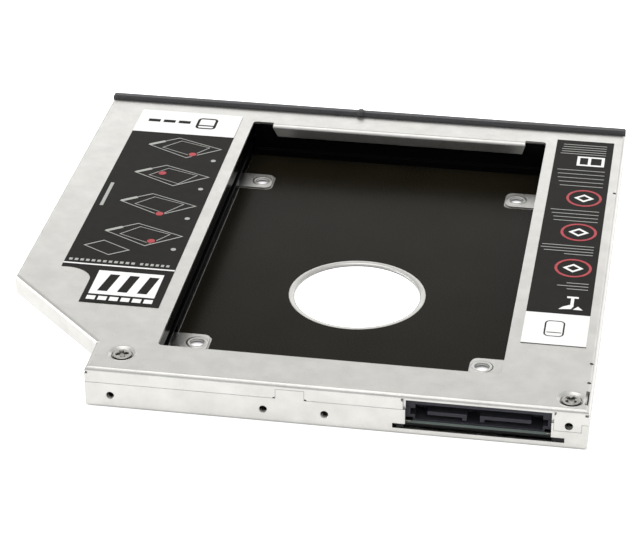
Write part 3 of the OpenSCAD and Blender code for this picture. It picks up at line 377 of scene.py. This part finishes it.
# %% Turn a grid of points into a piece
def piece(name, grids, material):
    """One object from several grids. Each grid has shape (rows, columns, 3), in mm, and its faces
    join neighbouring points. The faces point outwards where the columns run anticlockwise seen
    from the side that the rows go towards."""
    points, faces, start = [], [], 0
    for grid in grids:
        rows, cols = grid.shape[:2]
        index = np.arange(rows * cols).reshape(rows, cols) + start
        index = np.hstack([index, index[:, :1]])
        quads = np.stack([index[:-1, :-1], index[:-1, 1:], index[1:, 1:], index[1:, :-1]], axis=-1)
        points.append(grid.reshape(-1, 3))
        faces.append(quads.reshape(-1, 4))
        start += rows * cols
    mesh = bpy.data.meshes.new(name)
    mesh.from_pydata((np.vstack(points) * MM).tolist(), [], np.vstack(faces).tolist())
    work = bmesh.new()
    work.from_mesh(mesh)
    bmesh.ops.remove_doubles(work, verts=work.verts, dist=1e-7)
    work.to_mesh(mesh)
    work.free()
    mesh.materials.append(material)
    mesh.shade_smooth()
    mesh.set_sharp_from_angle(angle=radians(40))
    item = bpy.data.objects.new(name, mesh)
    bpy.context.scene.collection.objects.link(item)
    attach(item, "root")
    print(name, "faces:", len(mesh.polygons))
    return item


# %% [markdown]
# ## Screws
# Each screw is a surface of revolution with two extras. The cross recess is pressed into the
# head: where a point lies inside one of two crossing bars, the head sinks by the recess's depth,
# with sloping sides. The thread is a ridge that climbs by one pitch in each turn, which is a
# radius that depends on height and angle together.

# %% Make the screw heads and shanks
TURN = np.linspace(0, 2 * pi, 96, endpoint=False)
BAR_HALF, BAR_SLOPE, CROSS_DEPTH = 0.5, 0.14, 0.7


def screw_head(centre, radius, low, high, dome, arm, spin):
    """Head of a cross-recessed screw. Height over the radius r: high + dome * (1 - (r / radius)^2),
    less the recess, which is the deeper of two bars and fades from its middle to its rim."""
    rounding = 0.9 + 0.1 * np.sin(np.linspace(0.2, pi / 2, 6))
    share = np.concatenate([np.linspace(0.02, 0.9, 40), rounding])
    r, turn = np.meshgrid(radius * share, TURN, indexing="ij")
    x, y = r * np.cos(turn - spin), r * np.sin(turn - spin)
    drop = np.clip((share[:, None] - 0.9) / 0.1, 0, 1)
    z = high + dome * (1 - (r / radius) ** 2) - 0.35 * (high - low) * (1 - np.sqrt(1 - drop ** 2))
    bars = [np.clip((BAR_HALF - np.abs(across)) / BAR_SLOPE, 0, 1)
            * np.clip((arm - np.abs(along)) / 0.5, 0, 1) for across, along in ((y, x), (x, y))]
    z = z - np.maximum(*bars) * CROSS_DEPTH
    top = np.stack([centre[0] + r * np.cos(turn), centre[1] + r * np.sin(turn), z], axis=-1)
    rim = top[-1:].copy()
    rim[..., 2] = low
    hub = np.stack([np.full_like(TURN, centre[0]), np.full_like(TURN, centre[1]),
                    np.full_like(TURN, z[0].mean())], axis=-1)[None]
    under = hub.copy()
    under[..., 2] = low
    return np.concatenate([under, rim, top[::-1], hub])


def screw_shank(centre, radius, bottom, top, pitch=0.4):
    """Threaded shank. The radius falls by 0.22 mm in each groove: r = radius - 0.22 * w^2, where w
    goes from 0 to 1 and back once in each pitch, and runs round with the angle."""
    z, turn = np.meshgrid(np.arange(bottom, top, pitch / 8), TURN[::3], indexing="ij")
    phase = (z / pitch - turn / (2 * pi)) % 1
    r = radius - 0.22 * (1 - np.abs(2 * phase - 1)) ** 2
    r = r * np.clip((z - bottom) / 0.5 + 0.6, 0, 1)
    wall = np.stack([centre[0] + r * np.cos(turn), centre[1] + r * np.sin(turn), z], axis=-1)
    tip = wall[:1].copy()
    tip[..., :2] = centre
    end = wall[-1:].copy()
    end[..., :2] = centre
    return np.concatenate([tip, wall, end])


def screws(name, centres, node, head_r, head_low, head_high, dome, arm, spins, shank_r, bottom):
    """All screws of one CAD node, as one piece that takes the node's place."""
    grids = []
    for centre, spin in zip(centres, spins):
        grids.append(screw_head(centre, head_r, head_low, head_high, dome, arm, spin))
        grids.append(screw_shank(centre, shank_r, bottom, head_low))
    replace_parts(piece(name, grids, screw_steel), node)


# %% [markdown]
# The cover's screws sit in dished seats near the two rear corners. The board's screws stand
# below the cover. Their places are read from the boxes of the CAD nodes, because each node holds
# two screws: the box's two ends, moved in by the radius of the head, are the screws' middles.

# %% Place the screws
def box_mm(node):
    """Lowest and highest corner of a node, in mm."""
    return [np.array(corner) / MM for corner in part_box(node)]


COVER_HEAD_R, BOARD_HEAD_R = 2.0, 1.7
low, high = box_mm("cover_screws")
cover_places = [(low[0] + COVER_HEAD_R, high[1] - COVER_HEAD_R),
                (high[0] - COVER_HEAD_R, low[1] + COVER_HEAD_R)]
screws("cover_screws_turned", cover_places, "cover_screws", COVER_HEAD_R,
       high[2] - 0.45, high[2] - 0.1, 0.1, 1.45, (0.35, 0.9), 0.95, low[2])

low, high = box_mm("board_screws")
board_top = box_mm("adapter_board")[1][2]
board_places = [(x, (low[1] + high[1]) / 2)
                for x in (low[0] + BOARD_HEAD_R, high[0] - BOARD_HEAD_R)]
screws("board_screws_turned", board_places, "board_screws", BOARD_HEAD_R,
       board_top, high[2] - 0.25, 0.25, 1.0, (0.2, 1.1), 0.95, low[2])
print("cover screws at", np.round(cover_places, 2).tolist())
print("board screws at", np.round(board_places, 2).tolist())

# %% [markdown]
# ## Dished seats
# Each cover screw sits in a dish that a punch has pressed into the sheet. Its rim is not a sharp
# corner but a soft shoulder, and that shoulder is what catches the light. It is a ring: a small
# closed profile carried once round the screw.

# %% Round the rims of the dishes
def ring(centre, profile):
    """A closed profile of (radius, height) points, in mm, turned about a vertical at centre."""
    radius, height = np.array(profile + profile[:1]).T
    r, turn = np.meshgrid(radius, TURN, indexing="ij")
    z = np.broadcast_to(height[:, None], r.shape)
    return np.stack([centre[0] + r * np.cos(turn), centre[1] + r * np.sin(turn), z], axis=-1)


cover_top = box_mm("top_cover")[1][2]
shoulder = [(3.25, -0.01), (3.1, 0.002), (3.0, 0.003), (2.85, -0.01), (2.65, -0.1), (2.45, -0.25),
            (2.25, -0.38), (2.12, -0.44), (2.3, -0.46), (2.6, -0.25), (2.9, -0.05)]
profile = [(r, cover_top + z) for r, z in shoulder]
piece("dish_rims", [ring(place, profile) for place in cover_places], sheet)

# %% [markdown]
# ## Bare rims
# A narrow ring of bare metal lies inside the film round the big hole. The punch has drawn its
# edge inwards and down a little, and that soft edge shines all the way round. The hole's middle
# and radius and the height of the pads are the CAD's own numbers, in mm. The record's pattern
# "drive_screws" places the four small lips on the pads. A lip is a profile of points: how far
# outside the hole's edge, and how high above the surface.

# %% Round the rims of the holes
HOLE_PLACE, HOLE_R, PAD_TOP = (9.0, -10.05), 15.0, 1.1
film_top = box_mm("insulating_film")[1][2]
lip = [(0.28, -0.03), (0.28, 0.01), (0.1, 0.03), (-0.45, 0.0), (-0.75, -0.08),
       (-0.95, -0.25), (-1.0, -0.5), (-0.85, -0.5), (-0.6, -0.3), (-0.2, -0.15)]
profile = [(HOLE_R + r, film_top + z) for r, z in lip]
piece("hole_rim", [ring(HOLE_PLACE, profile)], sheet)

pattern = next(m for m in frame["record"]["mounts"] if m["name"] == "drive_screws")
middle, dims = np.array(pattern["pos_m"]) / MM, pattern["dims"]
half = np.array([dims["spacing_x_mm"], dims["spacing_y_mm"]]) / 2
pad_places = [middle[:2] + half * way for way in ((-1, -1), (-1, 1), (1, -1), (1, 1))]
lip = [(-0.02, -0.4), (-0.02, -0.15), (0.05, -0.02), (0.2, 0.025), (0.4, 0.025),
       (0.6, 0.012), (0.8, 0.001), (0.9, -0.01), (0.4, -0.05), (0.1, -0.15)]
profile = [(dims["hole_r_mm"] + r, PAD_TOP + z) for r, z in lip]
piece("pad_hole_lips", [ring(place, profile) for place in pad_places], sheet)

# %% [markdown]
# ## Threads in the rear wall
# Three holes in the rear wall take the screws of the notebook's bracket. The thread inside them
# is a lining whose inner radius rises and falls once per pitch, and shifts with the angle.

# %% Cut the threads
def thread_lining(x, z, y0, y1, radius, pitch=0.35):
    """A tube along Y. Inner radius: radius - 0.02 - 0.1 * w^2, where w goes from 0 to 1 and back
    once per pitch and runs round with the angle. The outer radius is plain."""
    y, turn = np.meshgrid(np.arange(y0, y1, pitch / 8), TURN[::3], indexing="ij")
    phase = (y / pitch - turn / (2 * pi)) % 1
    inner = radius - 0.02 - 0.1 * (1 - np.abs(2 * phase - 1)) ** 2
    r = np.concatenate([inner, np.full_like(inner[:2], radius + 0.05), inner[:1]])
    y = np.concatenate([y, y[-1:], y[:1], y[:1]])
    turn = np.concatenate([turn, turn[:3]])
    return np.stack([x + r * np.cos(turn), y, z + r * np.sin(turn)], axis=-1)


linings = []
for mount in frame["record"]["mounts"]:
    if mount["kind"] == "threaded_hole":
        x, y, z = np.array(mount["pos_m"]) / MM
        half = mount["dims"]["length_mm"] / 2
        linings.append(thread_lining(x, z, y - half + 0.1, y + half - 0.05, mount["dims"]["r_mm"]))
piece("bracket_hole_threads", linings, sheet)

# %% [markdown]
# ## Capacitors
# A chip capacitor is a small brick of ceramic with a metal cap on each end. Its edges are
# tumbled round before the caps go on. Each brick is a rounded rectangle carried upwards, drawn in
# at its lower and upper edge by a quarter circle. The places are the CAD's own numbers, in mm.

# %% Build small rounded bricks
def brick(low, high, radius):
    """Box from low to high with all edges rounded. Going up, the outline's inset from the side is
    radius * (1 - sin(a)) while the height grows by radius * (1 - cos(a)) from each end."""
    low, high = np.array(low, float), np.array(high, float)
    a = np.linspace(0, pi / 2, 4)
    inset = radius * np.concatenate([1 - np.sin(a), 1 - np.sin(a[::-1])])
    rise = radius * (1 - np.cos(a))
    z = np.concatenate([low[2] + rise, high[2] - rise[::-1]])
    corner = np.linspace(0, 2 * pi, 17)[:-1] + pi / 32
    side = np.stack([np.sign(np.cos(corner)), np.sign(np.sin(corner))])
    half = (high - low)[:2] / 2 - radius
    middle = (high + low)[:2] / 2
    grown = (radius - inset)[:, None]
    x = middle[0] + side[0] * half[0] + grown * np.cos(corner)
    y = middle[1] + side[1] * half[1] + grown * np.sin(corner)
    wall = np.stack([x, y, np.broadcast_to(z[:, None], x.shape)], axis=-1)
    caps = [wall[i:i + 1] * [0, 0, 1] + [*middle, 0] for i in (0, -1)]
    return np.concatenate([caps[0], wall, caps[1]])


# Each capacitor's middle, and true where it lies along Y
chips = [((17.7, -58.95), False), ((22.9, -58.95), False), ((23.7, -53.35), True),
         ((-13.4, -59.2), False), ((1.6, -59.2), False)]
LONG_HALF, WIDE_HALF, HEIGHT = 0.8, 0.4, 0.7
CAP_HALF, CAP_OVER = 0.2, 0.06
bodies, ends = [], []
for place, along in chips:
    place, reach = np.array(place), np.array([0, 1] if along else [1, 0])
    half = np.where(reach, LONG_HALF, WIDE_HALF) - CAP_OVER
    bodies.append(brick((*(place - half), board_top),
                        (*(place + half), board_top + HEIGHT - CAP_OVER), 0.06))
    half = np.where(reach, CAP_HALF, WIDE_HALF)
    for way in (-1, 1):
        low, high = place + way * reach * 0.62 - half, place + way * reach * 0.62 + half
        ends.append(brick((*low, board_top), (*high, board_top + HEIGHT), 0.08))
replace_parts(piece("chip_capacitor_bodies", bodies, ceramic), "chip_capacitors")
piece("chip_capacitor_ends", ends, plated)

# %% [markdown]
# ## The stage
# The caddy lies on white card under soft light, as in a shop's picture. The camera sees card and
# sky as pure white, and metal mirrors them a little darker. Where the caddy closes off the card,
# within 3 mm, shade is painted on it: an occlusion node darkens its colour and dims its glow. That
# painted shade is the grey line along the lowest bend, and the shade seen through the small holes.
# Beyond 60 mm from the middle the camera sees it white again.
# Four broad lamps stay at a plain level. Two hang above, one behind lights the top at a low angle,
# and one lights the left side. A flag of pale grey felt stands behind the camera: the lower half
# of each bend mirrors it, and so a grey line follows the bright one. To a camera on the other side
# the flag is as white as the sky.

# %% Build the floor, the flag and the sky
CONTACT_REACH, WHITE_BEYOND, SKY_LEVEL = 3 * MM, 60 * MM, 0.85


def empty_nodes(item):
    """Clears the nodes of a material or world, and gives the kinds of ray that may meet it."""
    item.use_nodes = True
    item.node_tree.nodes.clear()
    return add(item, "ShaderNodeLightPath").outputs


card = bpy.data.materials.new("white_card")
path = empty_nodes(card)
seen = add(card, "ShaderNodeMath", {0: path["Is Camera Ray"], 1: path["Is Glossy Ray"]},
           operation="MAXIMUM").outputs[0]
seen = add(card, "ShaderNodeMath", {0: seen, 1: path["Is Transmission Ray"]},
           operation="MAXIMUM").outputs[0]
# Painted contact shade: within 3 mm of the caddy the card darkens towards grey and its glow dims.
contact = add(card, "ShaderNodeAmbientOcclusion", {"Distance": CONTACT_REACH}, samples=8)
open_sky = add(card, "ShaderNodeMapRange",
               {"Value": contact.outputs["AO"], "From Min": 0.0, "From Max": 0.8}).outputs[0]
white = add(card, "ShaderNodeMix", {0: open_sky, 6: colour("#6a6a6a"), 7: colour("#f2f2f2")},
            data_type="RGBA")
paper = add(card, "ShaderNodeBsdfDiffuse", {"Color": white.outputs[2]}).outputs[0]
place = add(card, "ShaderNodeTexCoord").outputs["Object"]
reach = add(card, "ShaderNodeVectorMath", {0: place}, operation="LENGTH").outputs["Value"]
outside = add(card, "ShaderNodeMath", {0: reach, 1: WHITE_BEYOND},
              operation="GREATER_THAN").outputs[0]
bare = add(card, "ShaderNodeMath", {0: outside, 1: open_sky}, operation="MAXIMUM").outputs[0]
pictured = add(card, "ShaderNodeMath", {0: path["Is Camera Ray"], 1: bare},
               operation="MULTIPLY").outputs[0]
mirrored = add(card, "ShaderNodeMath", {0: open_sky, 1: 0.65}, operation="MULTIPLY").outputs[0]
strength = add(card, "ShaderNodeMath", {0: mirrored, 1: pictured}, operation="MAXIMUM").outputs[0]
lift = add(card, "ShaderNodeEmission", {"Color": (1, 1, 1, 1), "Strength": strength}).outputs[0]
both = add(card, "ShaderNodeAddShader", {0: paper, 1: lift}).outputs[0]
shown = add(card, "ShaderNodeMixShader", {0: seen, 1: paper, 2: both}).outputs[0]
add(card, "ShaderNodeOutputMaterial", {"Surface": shown})

felt = bpy.data.materials.new("pale_grey_felt")
path = empty_nodes(felt)
cloth = add(felt, "ShaderNodeBsdfDiffuse", {"Color": colour("#e4e4e8")}).outputs[0]
glow = add(felt, "ShaderNodeEmission", {"Color": (1, 1, 1, 1), "Strength": 1.0}).outputs[0]
shown = add(felt, "ShaderNodeMixShader", {0: path["Is Camera Ray"], 1: cloth, 2: glow}).outputs[0]
add(felt, "ShaderNodeOutputMaterial", {"Surface": shown})


def stage_sheet(name, corners_mm, material):
    """A flat sheet of the studio, with four corners. It isn't part of the caddy."""
    mesh = bpy.data.meshes.new(name)
    mesh.from_pydata((np.array(corners_mm) * MM).tolist(), [], [(0, 1, 2, 3)])
    mesh.materials.append(material)
    item = bpy.data.objects.new(name, mesh)
    bpy.context.scene.collection.objects.link(item)


stage_sheet("floor", [(-3000, -3000, -0.05), (3000, -3000, -0.05), (3000, 3000, -0.05),
                      (-3000, 3000, -0.05)], card)
stage_sheet("flag", [(-2000, -1200, 20), (2000, -1200, 20), (2000, -1200, 600),
                     (-2000, -1200, 600)], felt)

world = bpy.data.worlds.new("studio")
bpy.context.scene.world = world
path = empty_nodes(world)
seen = add(world, "ShaderNodeMath", {0: path["Is Camera Ray"], 1: path["Is Transmission Ray"]},
           operation="MAXIMUM").outputs[0]
level = add(world, "ShaderNodeMapRange",
            {"Value": seen, "To Min": SKY_LEVEL, "To Max": 1.0}).outputs[0]
sky = add(world, "ShaderNodeBackground", {"Color": (1, 1, 1, 1), "Strength": level}).outputs[0]
add(world, "ShaderNodeOutputWorld", {"Surface": sky})
print("materials:", len(bpy.data.materials))

# %% [markdown]
# ## The lamps
# A lamp of Blender's shines along its own -Z, so each is turned until that axis points at the
# caddy. They are wide, and so the shadows are soft.

# %% Hang the lamps
def lamp(name, place_mm, width_mm, height_mm, watts):
    """A broad soft lamp at a place, turned towards the middle of the caddy."""
    light = bpy.data.lights.new(name, "AREA")
    light.shape = "RECTANGLE"
    light.energy, light.size, light.size_y = watts, width_mm * MM, height_mm * MM
    item = bpy.data.objects.new(name, light)
    item.location = Vector(place_mm) * MM
    aim = Vector((0, 0, 5)) * MM - item.location
    item.rotation_euler = aim.to_track_quat("-Z", "Y").to_euler()
    bpy.context.scene.collection.objects.link(item)


lamp("lamp_above", (-150, 60, 900), 600, 600, 1.8)
lamp("lamp_back", (30, 620, 270), 1000, 200, 0.7)
lamp("lamp_left", (-900, -100, 190), 900, 320, 3.6)
lamp("lamp_front", (100, -520, 900), 700, 300, 1.2)
bpy.context.scene.view_settings.view_transform = "Standard"
print("lamps:", [light.name for light in bpy.data.lights])
